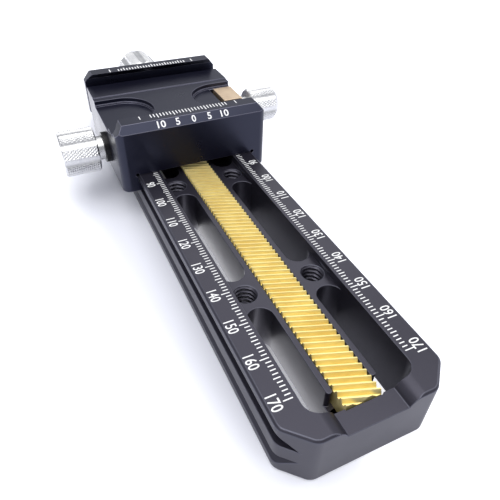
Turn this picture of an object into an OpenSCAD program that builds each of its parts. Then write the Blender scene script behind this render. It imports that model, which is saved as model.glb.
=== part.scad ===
// Macro focusing rail: a double dovetail rail with a skewed brass rack, a carriage driven by a
// pinion, and a quick-release clamp on top of the carriage. Three fluted knobs drive, lock and clamp.
// The origin is the middle of the rail's bottom face, +Y runs along the rail and +Z is up.

/* [Rail] */
// Length of the rail
rail_length = 180; // [160:5:260]
// Width across the dovetail lands
rail_width = 38; // [37.5:0.1:39]
// Height of the rail
rail_height = 15; // [14.6:0.1:16]
// Height of the top and the bottom land
land_height = 2.2; // [1.8:0.1:2.4]
// Depth of the dovetail groove in each side
groove_depth = 3.4; // [3:0.1:3.6]
// Corner cut of the rail in plan
rail_corner = 5.5; // [4:0.5:6]
// Rounding of the upright edges at those corners
corner_round = 3; // [2:0.5:8]
// Bevel on the rail's outer edges
rail_bevel = 0.5; // [0.2:0.1:0.8]

/* [Rail top] */
// Width of the sunk floor between the two scales
floor_width = 24.8; // [24.6:0.1:25.4]
// Depth of the sunk floor below the top
floor_depth = 2.4; // [2:0.1:2.8]
// Length of the raised wall at each end
end_wall = 5; // [4:0.5:8]
// Width of the channel through each end wall, at the floor
end_channel = 14; // [12:0.5:16]
// Radius of the rounded sides of that channel
end_round = 4; // [3:0.1:5]

/* [Slots and threaded holes] */
// Distance between the two rows of slots
row_spacing = 18.3; // [18:0.1:18.6]
// Width of a slot
slot_width = 6.5; // [6:0.1:6.8]
// Distance between threaded holes along the rail
hole_spacing = 50; // [40:1:56]
// Length of solid rail left between two slots, around each threaded hole
hole_land = 10; // [10:0.1:14]
// Bore of the threaded holes
thread_bore = 5.1; // [4.2:0.1:5.4]
// Countersink at the mouth of the threaded holes
thread_lead = 0.4; // [0.2:0.1:0.6]

/* [Rack] */
// Width of the rack
rack_width = 8.4; // [7.6:0.1:8.6]
// Height of the rack from its seat to the tooth tips
rack_height = 5.2; // [4.8:0.1:5.4]
// Depth of the rack's seat below the rail's top
rack_seat_depth = 7; // [6.8:0.1:7.4]
// Gap between the rack and its channel
rack_gap = 0.3; // [0.1:0.05:0.4]
// Gap at each end of the rack
rack_end_gap = 0.35; // [0.2:0.05:0.6]
// How far the thin ribs beside the rack stop short of the end walls
rib_stop = 4; // [2:0.1:5]
// Tooth pitch along the rail
tooth_pitch = 1.62; // [1.4:0.02:1.7]
// Angle of the teeth across the rack
tooth_skew = 19.3; // [10:0.1:22]
// Height of a tooth above the pitch line
addendum = 0.5; // [0.4:0.01:0.55]
// Depth of a tooth gap below the pitch line
dedendum = 0.62; // [0.55:0.01:0.68]
// Share of the pitch that a tooth fills at the pitch line
tooth_share = 0.42; // [0.36:0.01:0.45]
// Pressure angle of the teeth
pressure_angle = 20; // [18:0.5:22]
// Radius of the screws that hold the rack
rack_screw_r = 1.5; // [1.25:0.05:1.6]
// Radius of their countersunk heads
rack_head_r = 2.8; // [2.4:0.1:3]
// Height of their countersunk heads
rack_head_height = 1.7; // [1.4:0.1:2]
// Radius of their hexagon sockets
rack_socket_r = 1.1; // [0.8:0.05:1.2]
// Depth of their hexagon sockets
rack_socket_depth = 1.2; // [0.8:0.1:1.6]
// Distance between the rack's screws
rack_screw_spacing = 50; // [46:1:52]
// Length of the rack's screws
rack_screw_length = 10.5; // [9.5:0.1:10.8]
// Gap beyond the tip of the rack's screws
rack_tip_gap = 0.3; // [0.1:0.1:0.4]
// Gap around the rack's screws in the rail
rack_hole_gap = 0.1; // [0.05:0.05:0.2]

/* [Carriage] */
// Where the carriage's front face stands, ahead of the rail's middle
carriage_front = 6.6; // [0:0.1:20]
// Width of the carriage's legs beside the rail
leg_width = 5; // [4.8:0.1:6]
// Height of the clamp floor above the rail's top
deck_height = 11.7; // [11.6:0.1:13]
// How far the carriage's legs reach down past the rail's top
leg_reach = 5.3; // [4.8:0.1:5.4]
// Running gap between the carriage and the dovetail
slide_gap = 0.15; // [0.1:0.01:0.25]
// Radius of the upright front corners
corner_r = 2.5; // [1:0.1:3]
// Radius of the relief grooves in the corners of the dovetail channel
relief_r = 0.6; // [0.3:0.1:0.8]
// Height of the raised ledge at the back of the clamp floor
ledge_height = 0.3; // [0.1:0.05:0.5]
// Where that ledge starts, behind the front face
ledge_start = 33.2; // [32.6:0.1:36]
// Radius of the two round pockets in the clamp floor
pocket_r = 10; // [9:0.1:10.4]
// Distance of the pockets' centres from the middle plane
pocket_x = 17; // [16.6:0.1:18]
// Where the pockets' centres lie, behind the front face
pocket_y = 20.9; // [20:0.1:22]
// Depth of the pockets
pocket_depth = 1.8; // [1:0.1:2]
// Width of the ledge inside the pockets
pocket_ledge = 0.4; // [0.2:0.1:0.6]
// Height of that ledge above the pocket's floor
pocket_ledge_height = 0.5; // [0.2:0.1:0.8]

/* [Clamp jaws] */
// Height of the jaws above the clamp floor
jaw_rise = 4.13; // [3.8:0.01:4.6]
// Depth of the dovetail undercut of each jaw
undercut = 2; // [1.6:0.1:2.2]
// Where the fixed jaw's lip stands, behind the front face
fixed_lip = 6.4; // [6:0.1:7]
// Slanting face that carries the numbers on the fixed jaw
number_face = 2.1; // [1:0.1:2.6]
// Opening between the two lips at rest
jaw_opening = 37; // [36.6:0.1:37.6]
// Thickness of the moving jaw behind its undercut
jaw_plate = 3; // [2.6:0.1:5]
// Height of the moving jaw
jaw_height = 14; // [13.6:0.1:15]
// Gap between the carriage's back and the moving jaw at rest
jaw_gap = 2.2; // [1.9:0.1:2.4]
// Bevel at the moving jaw's upper rear edge
jaw_edge = 0.4; // [0.2:0.1:0.6]
// Bevel at the jaws' upper ends, across
jaw_end_width = 2.5; // [1:0.1:3]
// Bevel at the jaws' upper ends, down
jaw_end_drop = 3; // [1:0.1:3.4]
// Radius of the jaw's two guide pins
guide_pin_r = 1.5; // [1.2:0.1:1.6]
// Length of the guide pins
guide_pin_length = 15; // [14.4:0.1:15]
// How far the guide pins stand in the moving jaw
guide_pin_reach = 2.9; // [2.7:0.1:3]
// Distance between the guide pins
guide_pin_spacing = 28; // [26:0.1:30]
// Running gap around pins and shafts
running_gap = 0.05; // [0.02:0.01:0.08]
// Wire of the two springs that open the jaw
spring_wire = 0.5; // [0.3:0.05:0.6]
// Coils in each spring
spring_coils = 6; // [4:1:7]
// Depth of the springs' seats in the carriage
spring_seat = 4; // [3:0.1:5]
// Gap between a spring and its pin, and between a spring and its seat
spring_gap = 0.25; // [0.15:0.05:0.3]

/* [Knobs] */
// Flutes around each knob
flutes = 8; // [6:1:10]
// Depth of a flute
flute_depth = 0.5; // [0.2:0.05:0.7]
// Radius of the cutter that makes the flutes
flute_cutter = 1.7; // [1.4:0.1:2]
// Chamfer at the ends of the knobs
knob_chamfer = 0.6; // [0.3:0.1:0.9]
// Solid end that the bore in each knob leaves
knob_end = 3; // [2:0.1:4]
// Radius of the grub screws in the knobs
grub_r = 1.5; // [1.2:0.1:1.6]
// How far the grub screws lie below the flutes
grub_sink = 0.3; // [0.1:0.1:0.5]
// Radius of the grub screws' hexagon sockets
grub_socket_r = 0.85; // [0.6:0.05:0.9]
// Depth of the grub screws' hexagon sockets
grub_socket_depth = 1.2; // [0.8:0.1:1.4]

/* [Drive knob] */
// Radius of the drive knob
drive_knob_r = 7.1; // [6:0.1:7.4]
// Length of the drive knob
drive_knob_length = 11; // [10:0.1:14]
// Radius of the collar next to the drive knob
drive_collar_r = 3.8; // [3.4:0.1:4.2]
// Length of that collar
drive_collar_length = 2.2; // [1.6:0.1:3]
// Radius of the black bushing's flange
flange_r = 4.8; // [4:0.1:4.9]
// Thickness of that flange
flange_thickness = 1.4; // [1:0.1:2]
// Radius of the bushing's barrel
barrel_r = 3.2; // [2.6:0.1:3.6]
// Gap between the bushing's barrel and the carriage's channel
barrel_gap = 0.25; // [0.1:0.05:0.4]
// Gap between the drive knob's collar and the flange
collar_gap = 0.15; // [0.05:0.05:0.3]
// Radius of the pinion shaft
shaft_r = 1.5; // [1.2:0.05:1.5]
// Where the pinion shaft lies, behind the front face
pinion_y = 18.2; // [17.6:0.1:18.6]
// Teeth of the pinion
pinion_teeth = 16; // [16:1:17]
// Width of the pinion
pinion_width = 8; // [7.6:0.1:8.2]
// Thickness of the pinion's thrust washers
washer_thickness = 0.8; // [0.5:0.05:0.9]
// Gap around the pinion in its cavity
cavity_gap = 0.5; // [0.3:0.1:0.7]
// Gap between each thrust washer and its bearing block
thrust_gap = 0.4; // [0.2:0.1:0.5]
// Length of the bearing blocks along the rail
bearing_depth = 8; // [7.6:0.1:9]
// Gap between the bearing blocks and the rail's sunk floor
bearing_gap = 0.4; // [0.3:0.1:0.8]
// Length of the bush at the far end of the pinion shaft
bush_length = 5; // [3:0.1:6]
// Wall of that bush
bush_wall = 1.1; // [0.8:0.1:1.3]

/* [Lock] */
// Width of the brake block along the rail
brake_width = 10.8; // [9.8:0.1:11.2]
// Where the brake block's middle lies, behind the front face
brake_y = 24.5; // [24:0.1:25]
// How far the brake block reaches in over the rail's top
brake_reach_in = 1.5; // [1.2:0.1:1.6]
// Gap between the brake block and the rail when the brake is open
brake_gap = 0.4; // [0.3:0.05:0.5]
// Gap at each side of the brake block in its slot
slot_gap = 0.15; // [0.1:0.05:0.2]
// Gap between the brake block and the bottom of its slot
brake_play = 1.3; // [1:0.1:1.4]
// How far the brake block stands proud of the carriage's side
brake_proud = 0.2; // [0:0.1:0.6]
// Depth of the brake block's top below the clamp floor
brake_drop = 1.5; // [1:0.1:1.7]
// Height of the lock screw above the rail's top
lock_height = 4; // [3.8:0.1:4.6]
// Radius of the lock screw
lock_screw_r = 2; // [1.6:0.1:2.2]
// How far the lock screw reaches past the brake block's slot
lock_screw_reach = 7; // [5:0.1:8]
// Radius of the lock knob
lock_knob_r = 6.1; // [5.6:0.1:6.6]
// Length of the lock knob
lock_knob_length = 10.7; // [8:0.1:12]
// Radius of the lock knob's collar
lock_collar_r = 3.6; // [3.2:0.1:4]
// Length of that collar
lock_collar_length = 3.6; // [2:0.1:5]
// Rounding of the lock knob's outer end
lock_knob_round = 1.6; // [0.6:0.1:2]

/* [Clamp knob] */
// Radius of the clamp knob
clamp_knob_r = 7.3; // [6.6:0.1:7.3]
// Length of the clamp knob
clamp_knob_length = 14; // [10:0.1:15]
// Radius of the clamp knob's collar
clamp_collar_r = 4.2; // [3.8:0.1:4.2]
// Length of that collar
clamp_collar_length = 7; // [4:0.1:8]
// Height of the clamp screw above the rail's top
clamp_height = 6.1; // [6:0.1:6.4]
// Radius of the clamp screw
clamp_screw_r = 3; // [2.5:0.1:3.1]
// Depth of the clamp screw's thread in the carriage
clamp_screw_reach = 11; // [9:0.1:11.4]
// How far that thread is drilled past the screw
clamp_screw_play = 2.5; // [2.4:0.1:2.8]
// Gap around the screws where they pass through a piece
screw_clearance = 0.3; // [0.2:0.05:0.4]
// Gap around the screws in their threads
screw_fit = 0.05; // [0.02:0.01:0.08]
// Thickness of the washers under the knobs
knob_washer = 0.8; // [0.5:0.1:1]

/* [Hidden] */
$fn = 64;

// How far a cutting shape runs past the face it cuts
cut = 1;
sides = [-1, 1];

// Rail
half_length = rail_length / 2;
half_width = rail_width / 2;
floor_z = rail_height - floor_depth;
rack_z = rail_height - rack_seat_depth;
tip_z = rack_z + rack_height;
channel_width = rack_width + 2 * rack_gap;
recess_end = half_length - end_wall;
slot_x = row_spacing / 2;
hole_rows = [-1, 0, 1];
rack_length = 2 * recess_end;
rack_screw_rows = [-1.5, -0.5, 0.5, 1.5];
rib_width = slot_x - slot_width / 2 - channel_width / 2;

// Gearing
pitch_z = tip_z - addendum;
pitch_r = pinion_teeth * tooth_pitch / (2 * PI);
pinion_z = pitch_z + pitch_r;
pinion_tip_r = pitch_r + addendum;
pinion_root_r = pitch_r - dedendum;
// Pressure angle as the pinion's end face shows it
end_angle = atan(tan(pressure_angle) / cos(tooth_skew));
base_r = pitch_r * cos(end_angle);

// Carriage
half_carriage = half_width + leg_width;
jaw_lip = fixed_lip + jaw_opening;
jaw_front = jaw_lip + undercut;
carriage_length = jaw_front - jaw_gap;
channel_roof = rail_height + slide_gap;
channel_wall = half_width + slide_gap;
leg_bottom = rail_height - leg_reach;
deck_z = rail_height + deck_height;
ledge_z = deck_z + ledge_height;
jaw_top = deck_z + jaw_rise;
boss_bottom = floor_z + bearing_gap;
thrust_face = pinion_width / 2 + washer_thickness + thrust_gap;
cavity_r = pinion_tip_r + cavity_gap;
bush_r = shaft_r + bush_wall;
boss_end = thrust_face + bush_length + screw_clearance;
shaft_bore_r = shaft_r + running_gap;

// Brake and lock
brake_top = deck_z - brake_drop;
brake_x = half_width - brake_reach_in;
brake_outer = half_carriage + brake_proud;
lock_z = rail_height + lock_height;
lock_knob_x = brake_outer + knob_washer + lock_collar_length;
lock_screw_start = brake_x - brake_play - lock_screw_reach;

// Clamp
jaw_rear = jaw_front + jaw_plate;
jaw_bottom = jaw_top - jaw_height;
clamp_z = rail_height + clamp_height;
clamp_knob_y = jaw_rear + knob_washer + clamp_collar_length;
spring_inner_r = guide_pin_r + spring_gap;
spring_seat_r = spring_inner_r + spring_wire + spring_gap;

// Drive
flange_outer = half_carriage + flange_thickness;
collar_outer = flange_outer + drive_collar_length;

module on_carriage() {
    translate([0, carriage_front, 0]) children();
}

module at_pinion() {
    on_carriage() translate([0, pinion_y, pinion_z]) children();
}

module at_lock() {
    on_carriage() translate([0, brake_y, lock_z]) children();
}

module at_clamp() {
    on_carriage() translate([0, 0, clamp_z]) children();
}

// A round bar along X from x0 to x1
module bar_x(r, x0, x1) {
    translate([x0, 0, 0]) rotate([0, 90, 0]) cylinder(r = r, h = x1 - x0);
}

// A round bar along Y from y0 to y1
module bar_y(r, y0, y1) {
    translate([0, y0, 0]) rotate([-90, 0, 0]) cylinder(r = r, h = y1 - y0);
}

// A profile drawn in X and Z, drawn out along Y from y0 to y1
module profile_along_y(y0, y1) {
    translate([0, y1, 0]) rotate([90, 0, 0]) linear_extrude(y1 - y0) children();
}

// A profile drawn in Y and Z, drawn out along X from x0 to x1
module profile_along_x(x0, x1) {
    translate([x0, 0, 0]) rotate([90, 0, 90]) linear_extrude(x1 - x0) children();
}

// ---- Rail ----

module dovetail_outline() {
    low_groove = land_height + groove_depth;
    high_groove = rail_height - low_groove;
    right = [
        [half_width - rail_bevel, 0],
        [half_width, rail_bevel],
        [half_width, land_height],
        [half_width - groove_depth, low_groove],
        [half_width, low_groove],
        [half_width, high_groove],
        [half_width - groove_depth, high_groove],
        [half_width, rail_height - land_height],
        [half_width, rail_height - rail_bevel],
        [half_width - rail_bevel, rail_height]
    ];
    left = [for (i = [len(right) - 1 : -1 : 0]) [-right[i][0], right[i][1]]];
    polygon(concat(right, left));
}

// A round post with bevelled ends, as high as the rail
module bevelled_post(r) {
    rotate_extrude() polygon([
        [0, 0],
        [r - rail_bevel, 0],
        [r, rail_bevel],
        [r, rail_height - rail_bevel],
        [r - rail_bevel, rail_height],
        [0, rail_height]
    ]);
}

// The rail's outline in plan: two posts at each corner touch its side, its end and the cut between them
module rounded_block() {
    inset = rail_corner + corner_round * (sqrt(2) - 1);
    along_side = [half_width - corner_round, half_length - inset];
    along_end = [half_width - inset, half_length - corner_round];
    hull() for (side = sides) {
        for (end = sides) {
            for (place = [along_side, along_end]) {
                translate([side * place[0], end * place[1], 0]) bevelled_post(corner_round);
            }
        }
    }
}

// One slot through the floor, with round ends at y0 and y1
module through_slot(x, y0, y1) {
    r = slot_width / 2;
    translate([x, 0, -cut]) linear_extrude(rail_height + cut) {
        translate([-r, y0 + r]) square([slot_width, y1 - y0 - slot_width]);
        translate([0, y0 + r]) circle(r = r);
        translate([0, y1 - r]) circle(r = r);
    }
}

module rail_slots() {
    half_land = hole_land / 2;
    for (side = sides) {
        for (end = sides) {
            inner = [half_land, hole_spacing - half_land];
            outer = [hole_spacing + half_land, recess_end];
            for (span = [inner, outer]) {
                through_slot(side * slot_x, min(end * span), max(end * span));
            }
        }
    }
}

module threaded_holes() {
    r = thread_bore / 2;
    for (side = sides) {
        for (row = hole_rows) {
            translate([side * slot_x, row * hole_spacing, 0]) {
                translate([0, 0, -cut]) cylinder(r = r, h = rail_height + 2 * cut);
                translate([0, 0, floor_z - thread_lead])
                    cylinder(r1 = r, r2 = r + thread_lead + cut, h = thread_lead + cut);
            }
        }
    }
}

module sunk_floor() {
    r = slot_width / 2;
    straight_end = recess_end - r;
    translate([0, 0, floor_z]) linear_extrude(floor_depth + cut) {
        square([floor_width, 2 * straight_end], center = true);
        square([row_spacing, 2 * recess_end], center = true);
        for (side = sides) {
            for (end = sides) {
                translate([side * slot_x, end * straight_end]) circle(r = r);
            }
        }
    }
    profile_along_y(-half_length - cut, half_length + cut) end_channel_outline();
}

// End view of the channel through the end walls: its sides round over into the rail's top
module end_channel_outline() {
    steps = 8;
    crown_z = rail_height - end_round;
    first = asin((floor_z - crown_z) / end_round);
    crown_x = end_channel / 2 + end_round * cos(first);
    right = concat(
        [for (i = [0 : steps]) let (a = first + (90 - first) * i / steps)
            [crown_x - end_round * cos(a), crown_z + end_round * sin(a)]],
        [[crown_x, rail_height + cut]]);
    left = [for (i = [len(right) - 1 : -1 : 0]) [-right[i][0], right[i][1]]];
    polygon(concat(right, left));
}

// The rack's channel, opened to the slots at both ends so that the ribs between them end in round tips
module rack_channel() {
    rib_end = recess_end - rib_stop - rib_width / 2;
    translate([0, 0, rack_z]) linear_extrude(rail_height) {
        square([channel_width, rack_length + 2 * rack_end_gap], center = true);
        for (end = sides) {
            difference() {
                translate([0, end * (rib_end + recess_end) / 2])
                    square([row_spacing, recess_end - rib_end], center = true);
                for (side = sides) {
                    translate([side * (channel_width + rib_width) / 2, end * rib_end])
                        circle(r = rib_width / 2);
                }
            }
        }
    }
}

module rack_screw_holes() {
    for (row = rack_screw_rows) {
        translate([0, row * rack_screw_spacing, 0]) {
            translate([0, 0, -cut]) cylinder(r = rack_screw_r + rack_hole_gap, h = rack_z + 2 * cut);
            cylinder(
                r1 = rack_head_r + rack_hole_gap, r2 = rack_screw_r + rack_hole_gap, h = rack_head_height);
        }
    }
}

module rail_base() {
    color("#3a3a44") difference() {
        intersection() {
            profile_along_y(-half_length, half_length) dovetail_outline();
            rounded_block();
        }
        sunk_floor();
        rail_slots();
        threaded_holes();
        rack_channel();
        rack_screw_holes();
    }
}

// Comb of straight teeth, drawn across the teeth: u along the comb, z up
module tooth_comb(length) {
    step = tooth_pitch * cos(tooth_skew);
    slope = tan(pressure_angle);
    half_pitch = tooth_share * step / 2;
    half_tip = half_pitch - addendum * slope;
    half_root = half_pitch + dedendum * slope;
    count = ceil(length / step / 2);
    root_z = pitch_z - dedendum;
    // The comb is set so that a gap stands under the pinion
    mid_gap = (carriage_front + pinion_y) * cos(tooth_skew);
    shift = mid_gap + step / 2 - step * round(mid_gap / step);
    teeth = [for (i = [-count : count]) for (p = [
        [-half_root, root_z], [-half_tip, tip_z], [half_tip, tip_z], [half_root, root_z]
    ]) [shift + i * step + p[0], p[1]]];
    last = shift + count * step + step;
    first = shift - count * step - step;
    polygon(concat([[first, root_z]], teeth, [[last, root_z], [last, rack_z], [first, rack_z]]));
}

module brass_rack() {
    color("#d8ab48") difference() {
        intersection() {
            translate([-rack_width / 2, -rack_length / 2, rack_z])
                cube([rack_width, rack_length, rack_height + cut]);
            rotate([0, 0, -tooth_skew])
                profile_along_x(-rail_width, rail_width) tooth_comb(rail_length);
        }
        for (row = rack_screw_rows) {
            translate([0, row * rack_screw_spacing, rack_z - cut])
                cylinder(r = rack_screw_r, h = cut + rack_screw_length - rack_z + rack_tip_gap);
        }
    }
}

module rack_screws() {
    color("silver") for (row = rack_screw_rows) {
        translate([0, row * rack_screw_spacing, 0]) difference() {
            union() {
                cylinder(r = rack_screw_r, h = rack_screw_length);
                cylinder(r1 = rack_head_r, r2 = rack_screw_r, h = rack_head_height);
            }
            translate([0, 0, -cut]) cylinder(r = rack_socket_r, h = cut + rack_socket_depth, $fn = 6);
        }
    }
}

// ---- Carriage ----

// Side view of the carriage: front face, number face, fixed jaw, clamp floor and ledge
module carriage_side() {
    waist = fixed_lip - undercut;
    polygon([
        [0, leg_bottom],
        [0, jaw_top - number_face],
        [number_face, jaw_top],
        [fixed_lip, jaw_top],
        [waist, jaw_top - undercut],
        [waist, deck_z],
        [ledge_start, deck_z],
        [ledge_start, ledge_z],
        [carriage_length, ledge_z],
        [carriage_length, leg_bottom]
    ]);
}

// End view of the channel that runs on the rail's upper dovetail
module channel_outline() {
    flank = slide_gap * (sqrt(2) - 1);
    land_low = rail_height - land_height - flank;
    drop = land_low - leg_bottom + cut;
    polygon([
        [-channel_wall, channel_roof],
        [channel_wall, channel_roof],
        [channel_wall, land_low],
        [channel_wall - drop, land_low - drop],
        [-channel_wall + drop, land_low - drop],
        [-channel_wall, land_low]
    ]);
    for (side = sides) {
        translate([side * channel_wall, channel_roof]) circle(r = relief_r, $fn = 32);
    }
}

// End view of the bevels at the upper ends of both jaws
module jaw_end_outline() {
    for (side = sides) {
        polygon([
            [side * (half_carriage - jaw_end_width), jaw_top],
            [side * (half_carriage + cut), jaw_top],
            [side * (half_carriage + cut), jaw_top - jaw_end_drop],
            [side * half_carriage, jaw_top - jaw_end_drop]
        ]);
    }
}

// The carriage in plan, with its front corners rounded
module carriage_plan() {
    for (side = sides) {
        translate([side * (half_carriage - corner_r), corner_r]) circle(r = corner_r);
    }
    translate([-half_carriage + corner_r, 0]) square([2 * (half_carriage - corner_r), carriage_length]);
    translate([-half_carriage, corner_r]) square([2 * half_carriage, carriage_length - corner_r]);
}

module round_pockets() {
    for (side = sides) {
        for (level = [[pocket_r - pocket_ledge, 0], [pocket_r, pocket_ledge_height]]) {
            translate([side * pocket_x, pocket_y, deck_z - pocket_depth + level[1]]) {
                cylinder(r = level[0], h = jaw_rise);
                translate([side > 0 ? 0 : -half_carriage, -level[0], 0])
                    cube([half_carriage, 2 * level[0], jaw_rise]);
            }
        }
    }
}

module brake_slot() {
    width = brake_width + 2 * slot_gap;
    translate([brake_x - brake_play, brake_y - width / 2, leg_bottom - cut])
        cube([half_carriage, width, deck_z - leg_bottom]);
}

module pinion_cavity() {
    translate([-thrust_face, pinion_y - cavity_r, boss_bottom - cut])
        cube([2 * thrust_face, 2 * cavity_r, pinion_z - boss_bottom + cut]);
    translate([0, pinion_y, pinion_z]) {
        bar_x(cavity_r, -thrust_face, thrust_face);
        bar_x(shaft_r + screw_clearance, -half_carriage - cut, 0);
        bar_x(barrel_r, -half_carriage - cut, -half_carriage + barrel_length());
        bar_x(bush_r, 0, thrust_face + bush_length);
    }
}

// The bushing's barrel ends just short of the channel's wall
function barrel_length() = half_carriage - channel_wall - barrel_gap;

// Two bearing blocks reach down between the rail's scales, one on each side of the pinion
module bearing_blocks() {
    for (side = sides) {
        translate([side > 0 ? thrust_face : -boss_end, pinion_y - bearing_depth / 2, boss_bottom])
            cube([boss_end - thrust_face, bearing_depth, channel_roof - boss_bottom + cut]);
    }
}

module carriage_body() {
    color("#32323c") difference() {
        union() {
            on_carriage() difference() {
                intersection() {
                    profile_along_x(-half_carriage, half_carriage) carriage_side();
                    linear_extrude(jaw_top + cut) carriage_plan();
                }
                profile_along_y(-cut, carriage_length + cut) channel_outline();
                profile_along_y(-cut, fixed_lip + cut) jaw_end_outline();
                round_pockets();
                brake_slot();
            }
            on_carriage() bearing_blocks();
        }
        on_carriage() {
            pinion_cavity();
            translate([0, brake_y, lock_z])
                bar_x(lock_screw_r + screw_fit, lock_screw_start - cut, half_carriage);
            translate([0, 0, clamp_z]) {
                bar_y(clamp_screw_r + screw_fit, carriage_length - clamp_screw_reach - clamp_screw_play,
                    carriage_length + cut);
                for (side = sides) {
                    translate([side * guide_pin_spacing / 2, 0, 0]) {
                        bar_y(guide_pin_r, guide_pin_start(), carriage_length + cut);
                        bar_y(spring_seat_r, carriage_length - spring_seat, carriage_length + cut);
                    }
                }
            }
        }
    }
}

function guide_pin_start() = jaw_front + guide_pin_reach - guide_pin_length;

module pinion_bushing() {
    color("#18181c") at_pinion() difference() {
        union() {
            bar_x(flange_r, -flange_outer, -half_carriage);
            bar_x(barrel_r, -half_carriage, -half_carriage + barrel_length());
        }
        bar_x(shaft_bore_r, -flange_outer - cut, 0);
    }
}

module inner_bush() {
    color("#b98a3c") at_pinion() difference() {
        bar_x(bush_r, thrust_face, thrust_face + bush_length);
        bar_x(shaft_bore_r, 0, thrust_face + bush_length + cut);
    }
}

module guide_pins() {
    color("silver") at_clamp() for (side = sides) {
        translate([side * guide_pin_spacing / 2, 0, 0])
            bar_y(guide_pin_r, guide_pin_start(), jaw_front + guide_pin_reach);
    }
}

// One coil spring along Y, as a wire of eight sides swept round a helix
module coil_spring(mean_r, wire_r, length, coils) {
    per_coil = 20;
    wire_sides = 8;
    steps = coils * per_coil;
    run = length - 2 * wire_r;
    points = [for (i = [0 : steps]) for (k = [0 : wire_sides - 1])
        let (a = 360 * i / per_coil, b = 360 * k / wire_sides, r = mean_r + wire_r * cos(b))
        [r * cos(a), wire_r + run * i / steps + wire_r * sin(b), r * sin(a)]];
    skin = [for (i = [0 : steps - 1]) for (k = [0 : wire_sides - 1])
        let (n = (k + 1) % wire_sides, p = i * wire_sides, q = p + wire_sides)
        [p + k, q + k, q + n, p + n]];
    start = [for (k = [0 : wire_sides - 1]) k];
    finish = [for (k = [wire_sides - 1 : -1 : 0]) steps * wire_sides + k];
    polyhedron(points, concat(skin, [start, finish]));
}

module jaw_springs() {
    wire_r = spring_wire / 2;
    color("silver") at_clamp() for (side = sides) {
        translate([side * guide_pin_spacing / 2, carriage_length - spring_seat, 0])
            coil_spring(spring_inner_r + wire_r, wire_r, spring_seat + jaw_gap, spring_coils);
    }
}

// ---- Pinion and drive knob ----

// Angle that the tooth still fills at radius r, from the involute of the base circle
function involute(angle) = tan(angle) * 180 / PI - angle;
function tooth_half_angle(r) = 90 * tooth_share * tooth_pitch / (PI * pitch_r)
    + involute(end_angle) - involute(acos(min(1, base_r / r)));

module pinion_outline() {
    steps = 4;
    step_angle = 360 / pinion_teeth;
    radii = concat([pinion_root_r], [for (i = [0 : steps]) base_r + (pinion_tip_r - base_r) * i / steps]);
    polygon([for (t = [0 : pinion_teeth - 1]) for (side = sides) for (i = [0 : len(radii) - 1])
        let (r = radii[side < 0 ? i : len(radii) - 1 - i], a = t * step_angle + side * tooth_half_angle(r))
        [r * cos(a), r * sin(a)]]);
}

// The pinion's teeth lean so that they run along the gaps of the rack
module pinion_gear() {
    turn = pinion_width * tan(tooth_skew) / pitch_r * 180 / PI;
    color("#9a9aa0") at_pinion() difference() {
        rotate([0, 90, 0]) rotate([0, 0, turn / 2])
            linear_extrude(pinion_width, center = true, twist = turn, slices = 12) pinion_outline();
        bar_x(shaft_r, -pinion_width, pinion_width);
    }
}

module pinion_shaft() {
    color("silver") at_pinion()
        bar_x(shaft_r, -collar_outer - drive_knob_length + knob_end,
            thrust_face + bush_length - screw_clearance);
}

module pinion_washers() {
    color("#c8a050") at_pinion() for (side = sides) {
        x0 = side > 0 ? pinion_width / 2 : -pinion_width / 2 - washer_thickness;
        difference() {
            bar_x(bush_r, x0, x0 + washer_thickness);
            bar_x(shaft_r, x0 - cut, x0 + washer_thickness + cut);
        }
    }
}

// A knob turned along +Z: chamfered ends, straight flutes and a blind bore from below
module fluted_knob(r, length, outer_chamfer, bore_r) {
    difference() {
        rotate_extrude() polygon([
            [0, 0],
            [r - knob_chamfer, 0],
            [r, knob_chamfer],
            [r, length - outer_chamfer],
            [r - outer_chamfer, length],
            [0, length]
        ]);
        for (i = [0 : flutes - 1]) {
            rotate([0, 0, 360 * i / flutes])
                translate([r + flute_cutter - flute_depth, 0, -cut])
                    cylinder(r = flute_cutter, h = length + 2 * cut);
        }
        translate([0, 0, -cut]) cylinder(r = bore_r, h = length - knob_end + cut);
        rotate([0, 0, 180 / flutes]) translate([0, 0, length / 2]) rotate([0, 90, 0])
            cylinder(r = grub_r, h = r + cut);
    }
}

// A grub screw in the knob's side, from its shaft to just below the surface
module knob_grub(r, length, bore_r) {
    reach = r - bore_r - flute_depth - grub_sink;
    rotate([0, 0, 180 / flutes]) translate([0, 0, length / 2]) rotate([0, 90, 0]) difference() {
        translate([0, 0, bore_r]) cylinder(r = grub_r, h = reach);
        translate([0, 0, bore_r + reach - grub_socket_depth])
            cylinder(r = grub_socket_r, h = grub_socket_depth + cut, $fn = 6);
    }
}

// Turns a knob's +Z to point out of the left side, the right side or the back
module pointing_left() {
    rotate([0, -90, 0]) children();
}

module pointing_right() {
    rotate([0, 90, 0]) children();
}

module pointing_back() {
    rotate([-90, 0, 0]) children();
}

module drive_knob() {
    color("gainsboro") at_pinion() translate([-collar_outer, 0, 0]) pointing_left()
        fluted_knob(drive_knob_r, drive_knob_length, knob_chamfer, shaft_r);
}

module drive_collar() {
    color("gainsboro") at_pinion() difference() {
        bar_x(drive_collar_r, -collar_outer, -flange_outer - collar_gap);
        bar_x(shaft_r, -collar_outer - cut, 0);
    }
}

module drive_grub_screw() {
    color("dimgray") at_pinion() translate([-collar_outer, 0, 0]) pointing_left()
        knob_grub(drive_knob_r, drive_knob_length, shaft_r);
}

// ---- Brake and lock knob ----

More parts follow.
